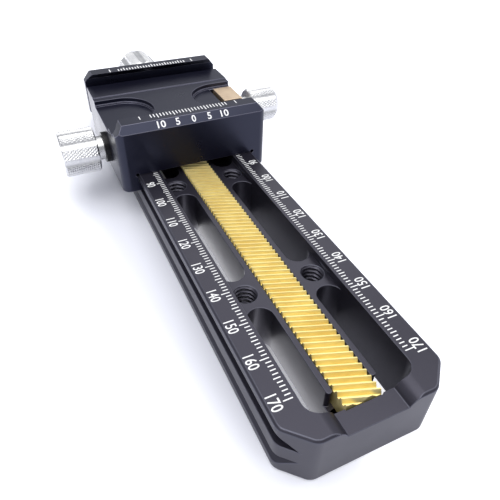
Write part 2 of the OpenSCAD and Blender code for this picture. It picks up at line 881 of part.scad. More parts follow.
module brake_block() {
    reach = brake_outer - brake_x;
    width = brake_width;
    flank = brake_gap * (sqrt(2) - 1);
    wall = half_width + brake_gap;
    low = rail_height - land_height - flank;
    color("#cdb27a") on_carriage() difference() {
        translate([brake_x, brake_y - width / 2, leg_bottom]) cube([reach, width, brake_top - leg_bottom]);
        profile_along_y(brake_y - width, brake_y + width) polygon([
            [0, rail_height + brake_gap],
            [wall, rail_height + brake_gap],
            [wall, low],
            [wall - low + leg_bottom - cut, leg_bottom - cut],
            [0, leg_bottom - cut]
        ]);
        translate([0, brake_y, lock_z])
            bar_x(lock_screw_r + screw_clearance, brake_x - cut, brake_outer + cut);
    }
}

module lock_knob() {
    color("gainsboro") at_lock() translate([lock_knob_x, 0, 0]) pointing_right()
        fluted_knob(lock_knob_r, lock_knob_length, lock_knob_round, lock_screw_r);
}

module lock_collar() {
    color("gainsboro") at_lock() difference() {
        bar_x(lock_collar_r, brake_outer + knob_washer, lock_knob_x);
        bar_x(lock_screw_r, brake_outer, lock_knob_x + cut);
    }
}

module lock_screw() {
    color("silver") at_lock()
        bar_x(lock_screw_r, lock_screw_start, lock_knob_x + lock_knob_length - knob_end);
}

module lock_washer() {
    color("#202024") at_lock() difference() {
        bar_x(lock_collar_r, brake_outer, brake_outer + knob_washer);
        bar_x(lock_screw_r, brake_outer - cut, brake_outer + knob_washer + cut);
    }
}

module lock_grub_screw() {
    color("dimgray") at_lock() translate([lock_knob_x, 0, 0]) pointing_right()
        knob_grub(lock_knob_r, lock_knob_length, lock_screw_r);
}

// ---- Moving jaw and clamp knob ----

module moving_jaw() {
    color("#32323c") on_carriage() difference() {
        profile_along_x(-half_carriage, half_carriage) polygon([
            [jaw_front, jaw_bottom],
            [jaw_front, jaw_top - undercut],
            [jaw_lip, jaw_top],
            [jaw_rear - jaw_edge, jaw_top],
            [jaw_rear, jaw_top - jaw_edge],
            [jaw_rear, jaw_bottom]
        ]);
        profile_along_y(jaw_lip - cut, jaw_rear + cut) jaw_end_outline();
        translate([0, 0, clamp_z]) {
            bar_y(clamp_screw_r + screw_clearance, jaw_lip, jaw_rear + cut);
            for (side = sides) {
                translate([side * guide_pin_spacing / 2, 0, 0])
                    bar_y(guide_pin_r + running_gap, jaw_lip, jaw_rear + cut);
            }
        }
    }
}

module clamp_knob() {
    color("gainsboro") at_clamp() translate([0, clamp_knob_y, 0]) pointing_back()
        fluted_knob(clamp_knob_r, clamp_knob_length, knob_chamfer, clamp_screw_r);
}

module clamp_collar() {
    color("gainsboro") at_clamp() difference() {
        bar_y(clamp_collar_r, jaw_rear + knob_washer, clamp_knob_y);
        bar_y(clamp_screw_r, jaw_rear, clamp_knob_y + cut);
    }
}

module clamp_screw() {
    color("silver") at_clamp()
        bar_y(clamp_screw_r, carriage_length - clamp_screw_reach,
            clamp_knob_y + clamp_knob_length - knob_end);
}

module clamp_washer() {
    color("#202024") at_clamp() difference() {
        bar_y(clamp_collar_r, jaw_rear, jaw_rear + knob_washer);
        bar_y(clamp_screw_r, jaw_rear - cut, jaw_rear + knob_washer + cut);
    }
}

module clamp_grub_screw() {
    color("dimgray") at_clamp() translate([0, clamp_knob_y, 0]) pointing_back()
        knob_grub(clamp_knob_r, clamp_knob_length, clamp_screw_r);
}

rail_base();
brass_rack();
rack_screws();
carriage_body();
pinion_bushing();
inner_bush();
guide_pins();
jaw_springs();
pinion_gear();
pinion_shaft();
pinion_washers();
drive_knob();
drive_collar();
drive_grub_screw();
brake_block();
lock_knob();
lock_collar();
lock_screw();
lock_washer();
lock_grub_screw();
moving_jaw();
clamp_knob();
clamp_collar();
clamp_screw();
clamp_washer();
clamp_grub_screw();
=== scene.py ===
import math

import bmesh
import bpy
from mathutils import Matrix, Vector


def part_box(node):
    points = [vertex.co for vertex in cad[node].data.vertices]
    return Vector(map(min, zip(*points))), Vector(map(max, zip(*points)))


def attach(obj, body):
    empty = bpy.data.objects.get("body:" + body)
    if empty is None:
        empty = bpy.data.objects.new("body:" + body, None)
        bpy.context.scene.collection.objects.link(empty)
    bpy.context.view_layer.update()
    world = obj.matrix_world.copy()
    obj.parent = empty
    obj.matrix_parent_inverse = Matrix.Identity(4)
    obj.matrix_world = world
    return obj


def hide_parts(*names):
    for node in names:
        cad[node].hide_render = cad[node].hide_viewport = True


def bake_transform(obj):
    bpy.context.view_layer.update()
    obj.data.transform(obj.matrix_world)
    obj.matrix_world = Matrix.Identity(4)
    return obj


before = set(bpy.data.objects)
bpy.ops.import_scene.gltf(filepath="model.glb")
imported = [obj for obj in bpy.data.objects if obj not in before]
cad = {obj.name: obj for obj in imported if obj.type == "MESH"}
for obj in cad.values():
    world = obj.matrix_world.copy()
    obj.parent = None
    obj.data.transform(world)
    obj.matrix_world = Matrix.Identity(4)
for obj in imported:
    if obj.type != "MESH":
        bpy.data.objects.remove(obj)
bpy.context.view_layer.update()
scene = bpy.context.scene
scene.view_settings.view_transform = "Standard"

# Camera. It stands ahead of the rail's near end, a little to the left of it, and looks down along the
# rail, turned slightly about its own axis.
camera_data = bpy.data.cameras.new("photo_camera")
camera_data.lens = 34.944
camera_data.sensor_width = 36.0
camera_data.clip_start = 0.002
camera = bpy.data.objects.new("photo_camera", camera_data)
scene.collection.objects.link(camera)
camera.location = (-0.043945, -0.121931, 0.095178)
camera_aim = Vector((-0.000055, -0.033223, 0.010))
camera_look = (camera_aim - camera.location).to_track_quat("-Z", "Y").to_matrix()
camera.rotation_euler = (camera_look @ Matrix.Rotation(math.radians(1.809), 3, "Z")).to_euler()
scene.camera = camera

# Floor and lights. A white table under an even sky, with a large soft panel overhead and small ones behind
# and on each side. The table glows only for the camera and in reflections, as a white backdrop. Its glow is
# held back around the rail and left of the carriage as painted shadow, and it glows under the rail and
# behind the carriage's left side as painted light seen through the slots and as painted reflections.
table_half = 3.0
table_z = -0.00005
floor_mesh = bpy.data.meshes.new("table_top")
floor_mesh.from_pydata([(-table_half, -table_half, table_z), (table_half, -table_half, table_z),
                        (table_half, table_half, table_z), (-table_half, table_half, table_z)], [],
                       [(0, 1, 2, 3)])
floor = bpy.data.objects.new("table_top", floor_mesh)
scene.collection.objects.link(floor)
floor_paint = bpy.data.materials.new("white_table")
floor_paint.use_nodes = True
floor_nodes = floor_paint.node_tree.nodes
floor_links = floor_paint.node_tree.links
floor_nodes.clear()
floor_out = floor_nodes.new("ShaderNodeOutputMaterial")
floor_add = floor_nodes.new("ShaderNodeAddShader")
floor_diffuse = floor_nodes.new("ShaderNodeBsdfDiffuse")
floor_diffuse.inputs["Color"].default_value = (0.87, 0.88, 0.95, 1)
floor_glow = floor_nodes.new("ShaderNodeEmission")
floor_glow.inputs["Color"].default_value = (1, 1, 1, 1)
floor_path = floor_nodes.new("ShaderNodeLightPath")
floor_coords = floor_nodes.new("ShaderNodeTexCoord")


def calc(nodes, links, operation, *values):
    """One Math node; a value is a number or the output of another node."""
    node = nodes.new("ShaderNodeMath")
    node.operation = operation
    for socket, value in zip(node.inputs, values):
        if isinstance(value, (int, float)):
            socket.default_value = value
        else:
            links.new(value, socket)
    return node.outputs[0]


def floor_calc(operation, *values):
    """One Math node of the table's material."""
    return calc(floor_nodes, floor_links, operation, *values)


def floor_fade(middle, half_size, inner, outer, least):
    """A mask that is least inside an oval and rises to 1 outside it."""
    offset = floor_nodes.new("ShaderNodeVectorMath")
    offset.operation = "SUBTRACT"
    offset.inputs[1].default_value = (*middle, 0.0)
    scaled = floor_nodes.new("ShaderNodeVectorMath")
    scaled.operation = "MULTIPLY"
    scaled.inputs[1].default_value = (1 / half_size[0], 1 / half_size[1], 0.0)
    reach = floor_nodes.new("ShaderNodeVectorMath")
    reach.operation = "LENGTH"
    fade = floor_nodes.new("ShaderNodeMapRange")
    fade.interpolation_type = "SMOOTHSTEP"
    fade.inputs["From Min"].default_value = inner
    fade.inputs["From Max"].default_value = outer
    fade.inputs["To Min"].default_value = least
    floor_links.new(floor_coords.outputs["Object"], offset.inputs[0])
    floor_links.new(offset.outputs["Vector"], scaled.inputs[0])
    floor_links.new(scaled.outputs["Vector"], reach.inputs[0])
    floor_links.new(reach.outputs["Value"], fade.inputs["Value"])
    return fade.outputs["Result"]


def floor_step(value, low, high):
    """A mask that rises smoothly from 0 at low to 1 at high."""
    ramp = floor_nodes.new("ShaderNodeMapRange")
    ramp.interpolation_type = "SMOOTHSTEP"
    ramp.inputs["From Min"].default_value = low
    ramp.inputs["From Max"].default_value = high
    floor_links.new(value, ramp.inputs["Value"])
    return ramp.outputs["Result"]


floor_place = floor_nodes.new("ShaderNodeSeparateXYZ")
floor_links.new(floor_coords.outputs["Object"], floor_place.inputs[0])
table_x = floor_place.outputs["X"]
table_y = floor_place.outputs["Y"]
strip_half, strip_near, strip_far = 0.0165, -0.0865, 0.002
in_width = floor_calc("LESS_THAN", floor_calc("ABSOLUTE", table_x), strip_half)
in_length = floor_calc("MULTIPLY", floor_calc("GREATER_THAN", table_y, strip_near),
                       floor_calc("LESS_THAN", table_y, strip_far))
under_rail = floor_calc("MULTIPLY", in_width, in_length)
# Painted shadow: the camera glow is held back in an oval around the rail and in a darker one left of the
# carriage.
painted_rail_shadow = floor_fade((-0.012, -0.005), (0.022, 0.090), 0.7, 1.5, 0.0)
painted_carriage_shadow = floor_fade((-0.028, 0.030), (0.016, 0.040), 0.4, 1.4, 0.30)
open_table = floor_calc("MAXIMUM", floor_calc("MULTIPLY", painted_rail_shadow, painted_carriage_shadow),
                        floor_step(table_x, -0.008, 0.004))
# Under the rail the table glows a little for the camera: painted light seen through the slots.
camera_glow = floor_calc("ADD", floor_calc("MULTIPLY", open_table, 0.5),
                         floor_calc("MULTIPLY", under_rail, 0.12))
# For reflections the table glows under the slots, most under the left ones: painted light on the slot walls.
painted_left_slot_light = floor_calc("MULTIPLY", floor_calc("LESS_THAN", table_x, 0.0),
                        floor_calc("MULTIPLY_ADD", floor_step(table_x, -0.0095, -0.0064), 1.5, 0.22))
painted_slot_light = floor_calc("MULTIPLY", under_rail, floor_calc("ADD", painted_left_slot_light, 0.06))
# Left of and behind the carriage the table glows only in reflections: a painted reflection in the carriage's
# left face.
painted_reflection_left_rear = floor_calc("MULTIPLY", floor_step(table_y, 0.035, 0.06),
                       floor_calc("LESS_THAN", table_x, -0.02))
painted_reflection_glow = floor_calc("ADD", floor_calc("MULTIPLY", painted_reflection_left_rear, 0.9), painted_slot_light)
for_camera = floor_calc("MULTIPLY", camera_glow, floor_path.outputs["Is Camera Ray"])
for_mirrors = floor_calc("MULTIPLY", painted_reflection_glow, floor_path.outputs["Is Glossy Ray"])
floor_links.new(floor_calc("ADD", for_camera, for_mirrors), floor_glow.inputs["Strength"])
floor_links.new(floor_diffuse.outputs[0], floor_add.inputs[0])
floor_links.new(floor_glow.outputs[0], floor_add.inputs[1])
floor_links.new(floor_add.outputs[0], floor_out.inputs["Surface"])
floor_mesh.materials.append(floor_paint)

world = bpy.data.worlds.new("even_sky")
world.use_nodes = True
world.node_tree.nodes["Background"].inputs["Color"].default_value = (0.92, 0.94, 1.0, 1)
world.node_tree.nodes["Background"].inputs["Strength"].default_value = 0.52
scene.world = world


def soft_panel(name, place, size, power):
    """A square area light that faces the rail's middle."""
    lamp = bpy.data.lights.new(name, "AREA")
    lamp.shape = "SQUARE"
    lamp.size = size
    lamp.energy = power
    panel = bpy.data.objects.new(name, lamp)
    scene.collection.objects.link(panel)
    panel.location = place
    panel.rotation_euler = (Vector((0, 0, 0.01)) - Vector(place)).to_track_quat("-Z", "Y").to_euler()


soft_panel("panel_overhead", (-0.05, -0.14, 0.95), 1.20, 8.0)
soft_panel("panel_behind", (0.34, 0.56, 0.70), 0.55, 0.9)
soft_panel("panel_right", (0.62, -0.15, 0.50), 0.40, 0.9)
soft_panel("panel_left", (-0.45, -0.25, 0.60), 0.40, 1.0)

# Rail. A bar of aluminium, milled to a double dovetail with a sunk floor, slots and tapped holes, then bead
# blasted and anodised black. Its milled edges are broken and catch the light, and the broken edges are also
# made lighter and more metallic than the black: painted highlight.
def sockets(tree, way, kinds):
    """Gives a node group its named inputs or outputs."""
    for name, kind in kinds.items():
        tree.interface.new_socket(name, in_out=way, socket_type="NodeSocket" + kind)


surface_results = {"Colour": "Color", "Roughness": "Float", "Normal": "Vector"}


def grain_group():
    """Fine grain: varies a colour and a roughness over the surface and gives a slight relief."""
    tree = bpy.data.node_groups.new("surface_grain", "ShaderNodeTree")
    sockets(tree, "INPUT", {"Colour": "Color", "Colour spread": "Float", "Grain": "Float",
                            "Roughness": "Float", "Roughness spread": "Float", "Relief": "Float"})
    sockets(tree, "OUTPUT", surface_results)
    nodes, links = tree.nodes, tree.links
    given = nodes.new("NodeGroupInput")
    result = nodes.new("NodeGroupOutput")
    coords = nodes.new("ShaderNodeTexCoord")
    fine = nodes.new("ShaderNodeTexNoise")
    fine.inputs["Detail"].default_value = 3.0
    patches = nodes.new("ShaderNodeTexNoise")
    patches.inputs["Scale"].default_value = 90.0
    patches.inputs["Detail"].default_value = 4.0
    links.new(coords.outputs["Object"], fine.inputs["Vector"])
    links.new(coords.outputs["Object"], patches.inputs["Vector"])
    links.new(given.outputs["Grain"], fine.inputs["Scale"])
    blend = nodes.new("ShaderNodeMix")
    blend.inputs["Factor"].default_value = 0.4
    links.new(fine.outputs["Fac"], blend.inputs["A"])
    links.new(patches.outputs["Fac"], blend.inputs["B"])
    tone = calc(nodes, links, "MULTIPLY_ADD", calc(nodes, links, "SUBTRACT", blend.outputs["Result"], 0.5),
                given.outputs["Colour spread"], 1.0)
    shade = nodes.new("ShaderNodeHueSaturation")
    links.new(given.outputs["Colour"], shade.inputs["Color"])
    links.new(tone, shade.inputs["Value"])
    links.new(shade.outputs["Color"], result.inputs["Colour"])
    rough = calc(nodes, links, "MULTIPLY_ADD", calc(nodes, links, "SUBTRACT", patches.outputs["Fac"], 0.5),
                 given.outputs["Roughness spread"], given.outputs["Roughness"])
    links.new(rough, result.inputs["Roughness"])
    bump = nodes.new("ShaderNodeBump")
    links.new(given.outputs["Relief"], bump.inputs["Distance"])
    links.new(fine.outputs["Fac"], bump.inputs["Height"])
    links.new(bump.outputs["Normal"], result.inputs["Normal"])
    return tree


surface_grain = grain_group()


def group_material(name, tree, group_settings, shader_settings):
    """A material whose colour, roughness and normal come from a shader group."""
    made = bpy.data.materials.new(name)
    made.use_nodes = True
    nodes, links = made.node_tree.nodes, made.node_tree.links
    shader = nodes["Principled BSDF"]
    group = nodes.new("ShaderNodeGroup")
    group.node_tree = tree
    for node, settings in ((group, group_settings), (shader, shader_settings)):
        for socket, value in settings.items():
            node.inputs[socket].default_value = value
    links.new(group.outputs["Colour"], shader.inputs["Base Color"])
    links.new(group.outputs["Roughness"], shader.inputs["Roughness"])
    links.new(group.outputs["Normal"], shader.inputs["Normal"])
    return made


def grained(name, colour, roughness, metallic=0.0, specular=0.5, tint=(1, 1, 1), spread=0.3,
            grain=5000.0, relief=0.000004):
    """A blasted or moulded surface with fine grain."""
    return group_material(name, surface_grain,
                          {"Colour": (*colour, 1), "Colour spread": spread, "Grain": grain,
                           "Roughness": roughness, "Roughness spread": 0.15, "Relief": relief},
                          {"Metallic": metallic, "Specular IOR Level": specular,
                           "Specular Tint": (*tint, 1)})


rail_black = grained("black_anodised_rail", (0.011, 0.010, 0.015), 0.36, specular=0.85,
                     tint=(0.84, 0.82, 1.0))
# The broken edges are lighter and more metallic than the black: painted highlight along the milled edges.
rail_highlight_edge = grained("broken_edge_rail", (0.07, 0.07, 0.09), 0.30, metallic=0.45, specular=0.9,
                    tint=(0.85, 0.85, 1.0), spread=0.2)


def solid_copy(node):
    """A merged copy of a CAD node's mesh, with its flat faces joined."""
    mesh = cad[node].data.copy()
    made = bmesh.new()
    made.from_mesh(mesh)
    bmesh.ops.remove_doubles(made, verts=made.verts, dist=0.000002)
    bmesh.ops.dissolve_limit(made, angle_limit=math.radians(0.6), verts=made.verts, edges=made.edges)
    made.to_mesh(mesh)
    made.free()
    mesh.materials.clear()
    return mesh


def baked(piece):
    """Turns a piece and its modifiers into a plain mesh."""
    bpy.context.view_layer.update()
    seen = piece.evaluated_get(bpy.context.evaluated_depsgraph_get())
    mesh = bpy.data.meshes.new_from_object(seen, preserve_all_data_layers=True,
                                           depsgraph=bpy.context.evaluated_depsgraph_get())
    old = piece.data
    piece.modifiers.clear()
    piece.data = mesh
    mesh.name = piece.name
    if old.users == 0 and isinstance(old, bpy.types.Mesh):
        bpy.data.meshes.remove(old)
    return piece


def even_normals(piece):
    """Smooth shading that keeps the flat faces flat."""
    piece.data.polygons.foreach_set("use_smooth", [True] * len(piece.data.polygons))
    piece.data.set_sharp_from_angle(angle=math.radians(38))
    weighted = piece.modifiers.new("flat_faces", "WEIGHTED_NORMAL")
    weighted.keep_sharp = True
    weighted.weight = 80
    return baked(piece)


def piece_from(mesh, name, *materials):
    """A new object in the scene from a mesh and its materials."""
    made = bpy.data.objects.new(name, mesh)
    mesh.name = name
    for material in materials:
        mesh.materials.append(material)
    scene.collection.objects.link(made)
    return made


def softened(node, name, edge_width, surface, edge):
    """A copy of a CAD node with its sharp edges broken; the broken edges take the edge material."""
    piece = piece_from(solid_copy(node), name, surface, edge)
    bevel = piece.modifiers.new("broken_edges", "BEVEL")
    bevel.width = edge_width
    bevel.segments = 2
    bevel.limit_method = "ANGLE"
    bevel.angle_limit = math.radians(34)
    bevel.use_clamp_overlap = False
    bevel.material = 1
    bevel.miter_outer = "MITER_SHARP"
    return baked(piece)


def cut_away(piece, tool, name):
    """Cuts a closed tool out of a piece and takes the tool away."""
    cut = piece.modifiers.new(name, "BOOLEAN")
    cut.object = tool
    cut.solver = "MANIFOLD"
    baked(piece)
    bpy.data.objects.remove(tool)


rail_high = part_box("rail_base")[1]
rail_top = rail_high.z
rail_edge_width = 0.00015
rail = softened("rail_base", "rail_bar", rail_edge_width, rail_black, rail_highlight_edge)

tripod_pitch = 0.00127
tripod_root_r = 0.0031
tripod_depth = 0.0008
tripod_around = 40
tripod_rings = 88
tripod_low = -0.0005
tripod_high = 0.0131
tripod_x = 0.00915
tripod_rows_y = (-0.050, 0.0, 0.050)


def tap(made, x, y):
    """Adds one thread cutter, a screw of full thread depth, to a mesh in the making."""
    rings = []
    for number in range(tripod_rings + 1):
        z = tripod_low + (tripod_high - tripod_low) * number / tripod_rings
        ring = []
        for step in range(tripod_around):
            turn = step / tripod_around
            phase = (z / tripod_pitch - turn) % 1.0
            height = 1 - abs(2 * phase - 1)
            r = tripod_root_r - tripod_depth + tripod_depth * height
            spot = (x + r * math.cos(math.tau * turn), y + r * math.sin(math.tau * turn), z)
            ring.append(made.verts.new(spot))
        rings.append(ring)
    for low, high in zip(rings, rings[1:]):
        for step in range(tripod_around):
            after = (step + 1) % tripod_around
            made.faces.new((low[step], low[after], high[after], high[step]))
    made.faces.new(list(reversed(rings[0])))
    made.faces.new(rings[-1])


tap_mesh = bpy.data.meshes.new("taps")
taps = bmesh.new()
for side in (-1, 1):
    for tripod_y in tripod_rows_y:
        tap(taps, side * tripod_x, tripod_y)
taps.to_mesh(tap_mesh)
taps.free()
cut_away(rail, piece_from(tap_mesh, "taps", rail_black), "tapped_holes")
even_normals(rail)
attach(rail, "rail")
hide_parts("rail_base")

# Rail scales. Two rows of white marks, 1 mm apart, with a number every 10 mm. They are engraved by
# laser through the black, so they lie flush and show the light metal underneath.
engraved = grained("engraved_white", (0.88, 0.88, 0.88), 0.65, spread=0.2, grain=9000.0, relief=0.0)


def marks_tree():
    """A row of scale marks: long at each tenth, middling at each fifth, short between."""
    tree = bpy.data.node_groups.new("scale_marks", "GeometryNodeTree")
    sockets(tree, "INPUT", {"Count": "Int", "First": "Int", "Start": "Vector", "Pitch": "Vector",
                            "Outward": "Vector", "Long": "Float", "Middle": "Float", "Short": "Float",
                            "Line": "Float", "Paint": "Material"})
    sockets(tree, "OUTPUT", {"Geometry": "Geometry"})
    nodes, links = tree.nodes, tree.links
    given = nodes.new("NodeGroupInput")
    result = nodes.new("NodeGroupOutput")
    row = nodes.new("GeometryNodeMeshLine")
    row.mode = "OFFSET"
    links.new(given.outputs["Count"], row.inputs["Count"])
    links.new(given.outputs["Start"], row.inputs["Start Location"])
    links.new(given.outputs["Pitch"], row.inputs["Offset"])
    bar = nodes.new("GeometryNodeMeshCube")
    bar.inputs["Size"].default_value = (1, 1, 1)
    shift = nodes.new("GeometryNodeTransform")
    shift.inputs["Translation"].default_value = (0.5, 0, 0)
    links.new(bar.outputs["Mesh"], shift.inputs["Geometry"])
    index = nodes.new("GeometryNodeInputIndex")
    number = calc(nodes, links, "ADD", index.outputs[0], given.outputs["First"])
    tenth = calc(nodes, links, "LESS_THAN", calc(nodes, links, "FLOORED_MODULO", number, 10), 0.5)
    fifth = calc(nodes, links, "LESS_THAN", calc(nodes, links, "FLOORED_MODULO", number, 5), 0.5)
    fifth_more = calc(nodes, links, "SUBTRACT", given.outputs["Middle"], given.outputs["Short"])
    tenth_more = calc(nodes, links, "SUBTRACT", given.outputs["Long"], given.outputs["Middle"])
    some = calc(nodes, links, "MULTIPLY_ADD", fifth, fifth_more, given.outputs["Short"])
    length = calc(nodes, links, "MULTIPLY_ADD", tenth, tenth_more, some)
    size = nodes.new("ShaderNodeCombineXYZ")
    links.new(length, size.inputs["X"])
    links.new(given.outputs["Line"], size.inputs["Y"])
    size.inputs["Z"].default_value = 0.00002
    turn = nodes.new("FunctionNodeAlignRotationToVector")
    turn.axis = "X"
    links.new(given.outputs["Outward"], turn.inputs["Vector"])
    place = nodes.new("GeometryNodeInstanceOnPoints")
    links.new(row.outputs["Mesh"], place.inputs["Points"])
    links.new(shift.outputs["Geometry"], place.inputs["Instance"])
    links.new(turn.outputs["Rotation"], place.inputs["Rotation"])
    links.new(size.outputs["Vector"], place.inputs["Scale"])
    real = nodes.new("GeometryNodeRealizeInstances")
    links.new(place.outputs["Instances"], real.inputs["Geometry"])
    paint = nodes.new("GeometryNodeSetMaterial")
    links.new(real.outputs["Geometry"], paint.inputs["Geometry"])
    links.new(given.outputs["Paint"], paint.inputs["Material"])
    links.new(paint.outputs["Geometry"], result.inputs["Geometry"])
    return tree


scale_marks = marks_tree()


def tree_piece(name, tree, **settings):
    """An object whose mesh a geometry tree makes from the given settings."""
    made = bpy.data.objects.new(name, bpy.data.meshes.new(name))
    scene.collection.objects.link(made)
    modifier = made.modifiers.new(tree.name, "NODES")
    modifier.node_group = tree
    for item in tree.interface.items_tree:
        if item.item_type == "SOCKET" and item.in_out == "INPUT" and item.name.replace(" ", "_") in settings:
            modifier[item.identifier] = settings[item.name.replace(" ", "_")]
    return baked(made)


def joined(name, parts):
    """One piece from several meshes."""
    made = bmesh.new()
    for part in parts:
        made.from_mesh(part)
    mesh = bpy.data.meshes.new(name)
    made.to_mesh(mesh)
    made.free()
    return mesh


scale_pitch = 0.001
flush = 0.00001
rail_zero = rail_high.y
rail_mark_x = 0.01324
mark_parts = []
for side in (-1, 1):
    strip = tree_piece("marks_strip", scale_marks, Count=161, First=10,
                       Start=(side * rail_mark_x, rail_zero - 10 * scale_pitch, rail_top + flush),
                       Pitch=(0.0, -scale_pitch, 0.0), Outward=(side, 0.0, 0.0), Long=0.0021, Middle=0.0016,
                       Short=0.0013, Line=0.00026, Paint=engraved)
    mark_parts.append(strip.data)
    bpy.data.objects.remove(strip)
rail_marks = piece_from(joined("rail_marks", mark_parts), "rail_marks", engraved)
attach(rail_marks, "rail")


def number_mesh(text, height, width, weight):
    """A number as a thin mesh, its middle at the origin, with digits of the given height and advance."""
    curve = bpy.data.curves.new("number", "FONT")
    curve.body = text
    curve.align_x = "CENTER"
    curve.align_y = "CENTER"
    curve.size = 1.0
    curve.extrude = 0.01
    curve.offset = weight
    curve.resolution_u = 3
    holder = bpy.data.objects.new("number", curve)
    scene.collection.objects.link(holder)
    bpy.context.view_layer.update()
    mesh = bpy.data.meshes.new_from_object(holder.evaluated_get(bpy.context.evaluated_depsgraph_get()))
    bpy.data.objects.remove(holder)
    low = min(v.co.y for v in mesh.vertices)
    high = max(v.co.y for v in mesh.vertices)
    left = min(v.co.x for v in mesh.vertices)
    right = max(v.co.x for v in mesh.vertices)
    gap_share = 0.08
    wide = width * len(text) * (1 - gap_share)
    mesh.transform(Matrix.Translation((-(left + right) / 2, -(low + high) / 2, 0)))
    mesh.transform(Matrix.Diagonal((wide / (right - left), height / (high - low), 0.001, 1)))
    return mesh


rail_number_x = 0.01681
rail_number_shift = Vector((-0.00021, 0.0003, 0))
number_parts = []
for side in (-1, 1):
    across = Vector((-side, 0, 0))
    along = Vector((0, side, 0))
    turned = Matrix((along, across, (0, 0, 1))).transposed().to_4x4()
    for value in range(10, 180, 10):
        digits = number_mesh(str(value), 0.00250, 0.00128, 0.006)
        digits.transform(turned)
        number_place = Vector((side * rail_number_x, rail_zero - value * scale_pitch, rail_top + flush))
        digits.transform(Matrix.Translation(number_place + rail_number_shift))
        number_parts.append(digits)
rail_numbers = piece_from(joined("rail_numbers", number_parts), "rail_numbers", engraved)
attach(rail_numbers, "rail")

# Rack. A brass strip with slanting teeth, milled across its top, that lies in the rail's channel. The
# cutter leaves fine lines along each tooth, and four screws hold the strip from below. Reflections on
# other pieces show it dimmer than the camera does.
def lines_group():
    """Tool marks: fine lines drawn out one way, as a colour, a roughness and a relief."""
    tree = bpy.data.node_groups.new("tool_lines", "ShaderNodeTree")
    sockets(tree, "INPUT", {"Colour": "Color", "Dark": "Color", "Stretch": "Vector", "Turn": "Float",
                            "Roughness": "Float", "Relief": "Float"})
    sockets(tree, "OUTPUT", surface_results)
    nodes, links = tree.nodes, tree.links
    given = nodes.new("NodeGroupInput")
    result = nodes.new("NodeGroupOutput")
    coords = nodes.new("ShaderNodeTexCoord")
    spin = nodes.new("ShaderNodeVectorRotate")
    spin.rotation_type = "Z_AXIS"
    links.new(coords.outputs["Object"], spin.inputs["Vector"])
    links.new(given.outputs["Turn"], spin.inputs["Angle"])
    stretch = nodes.new("ShaderNodeVectorMath")
    stretch.operation = "MULTIPLY"
    links.new(spin.outputs["Vector"], stretch.inputs[0])
    links.new(given.outputs["Stretch"], stretch.inputs[1])
    lines = nodes.new("ShaderNodeTexNoise")
    lines.inputs["Scale"].default_value = 1.0
    lines.inputs["Detail"].default_value = 2.0
    links.new(stretch.outputs["Vector"], lines.inputs["Vector"])
    stains = nodes.new("ShaderNodeTexNoise")
    stains.inputs["Scale"].default_value = 160.0
    stains.inputs["Detail"].default_value = 5.0
    links.new(coords.outputs["Object"], stains.inputs["Vector"])
    both = calc(nodes, links, "MULTIPLY", lines.outputs["Fac"], stains.outputs["Fac"])
    spread = nodes.new("ShaderNodeMapRange")
    spread.inputs["From Min"].default_value = 0.15
    spread.inputs["From Max"].default_value = 0.35
    links.new(both, spread.inputs["Value"])
    mix = nodes.new("ShaderNodeMix")
    mix.data_type = "RGBA"
    links.new(spread.outputs["Result"], mix.inputs["Factor"])
    links.new(given.outputs["Dark"], mix.inputs["A"])
    links.new(given.outputs["Colour"], mix.inputs["B"])
    links.new(mix.outputs["Result"], result.inputs["Colour"])
    rough = calc(nodes, links, "MULTIPLY_ADD",
                 calc(nodes, links, "SUBTRACT", lines.outputs["Fac"], 0.5), 0.25, given.outputs["Roughness"])
    links.new(rough, result.inputs["Roughness"])
    bump = nodes.new("ShaderNodeBump")
    links.new(given.outputs["Relief"], bump.inputs["Distance"])
    links.new(lines.outputs["Fac"], bump.inputs["Height"])
    links.new(bump.outputs["Normal"], result.inputs["Normal"])
    return tree


tool_lines = lines_group()


def machined(name, colour, dark, roughness, stretch, turn=0.0, metallic=1.0, relief=0.000004):
    """A metal whose colour, roughness and relief come from the tool marks."""
    return group_material(name, tool_lines,
                          {"Colour": (*colour, 1), "Dark": (*dark, 1), "Stretch": stretch, "Turn": turn,
                           "Roughness": roughness, "Relief": relief}, {"Metallic": metallic})


def finish_node(node, material):
    """Gives a CAD node that stays as it is its own material."""
    cad[node].data.materials.clear()
    cad[node].data.materials.append(material)


rack_brass = machined("rack_brass", (0.97, 0.84, 0.40), (0.88, 0.72, 0.30), 0.42, (400.0, 6000.0, 2500.0),
                      turn=math.radians(19.3), metallic=0.7, relief=0.000001)
rack_nodes, rack_links = rack_brass.node_tree.nodes, rack_brass.node_tree.links
rack_shader = rack_nodes["Principled BSDF"]
rack_colour = rack_shader.inputs["Base Color"].links[0].from_socket
rack_dim = rack_nodes.new("ShaderNodeMix")
rack_dim.data_type = "RGBA"
rack_dim.inputs["B"].default_value = (0.10, 0.08, 0.05, 1)
rack_path = rack_nodes.new("ShaderNodeLightPath")
rack_dim_share = 0.5
past_next_tooth = 0.003
rack_away = calc(rack_nodes, rack_links, "GREATER_THAN", rack_path.outputs["Ray Length"], past_next_tooth)
rack_mirrored = calc(rack_nodes, rack_links, "MULTIPLY", rack_path.outputs["Is Glossy Ray"], rack_away)
rack_links.new(calc(rack_nodes, rack_links, "MULTIPLY", rack_mirrored, rack_dim_share),
               rack_dim.inputs["Factor"])
rack_links.new(rack_colour, rack_dim.inputs["A"])
rack_links.new(rack_dim.outputs["Result"], rack_shader.inputs["Base Color"])
finish_node("brass_rack", rack_brass)
screw_steel = machined("screw_steel", (0.62, 0.62, 0.63), (0.42, 0.42, 0.43), 0.35, (3000.0, 3000.0, 3000.0))
finish_node("rack_screws", screw_steel)

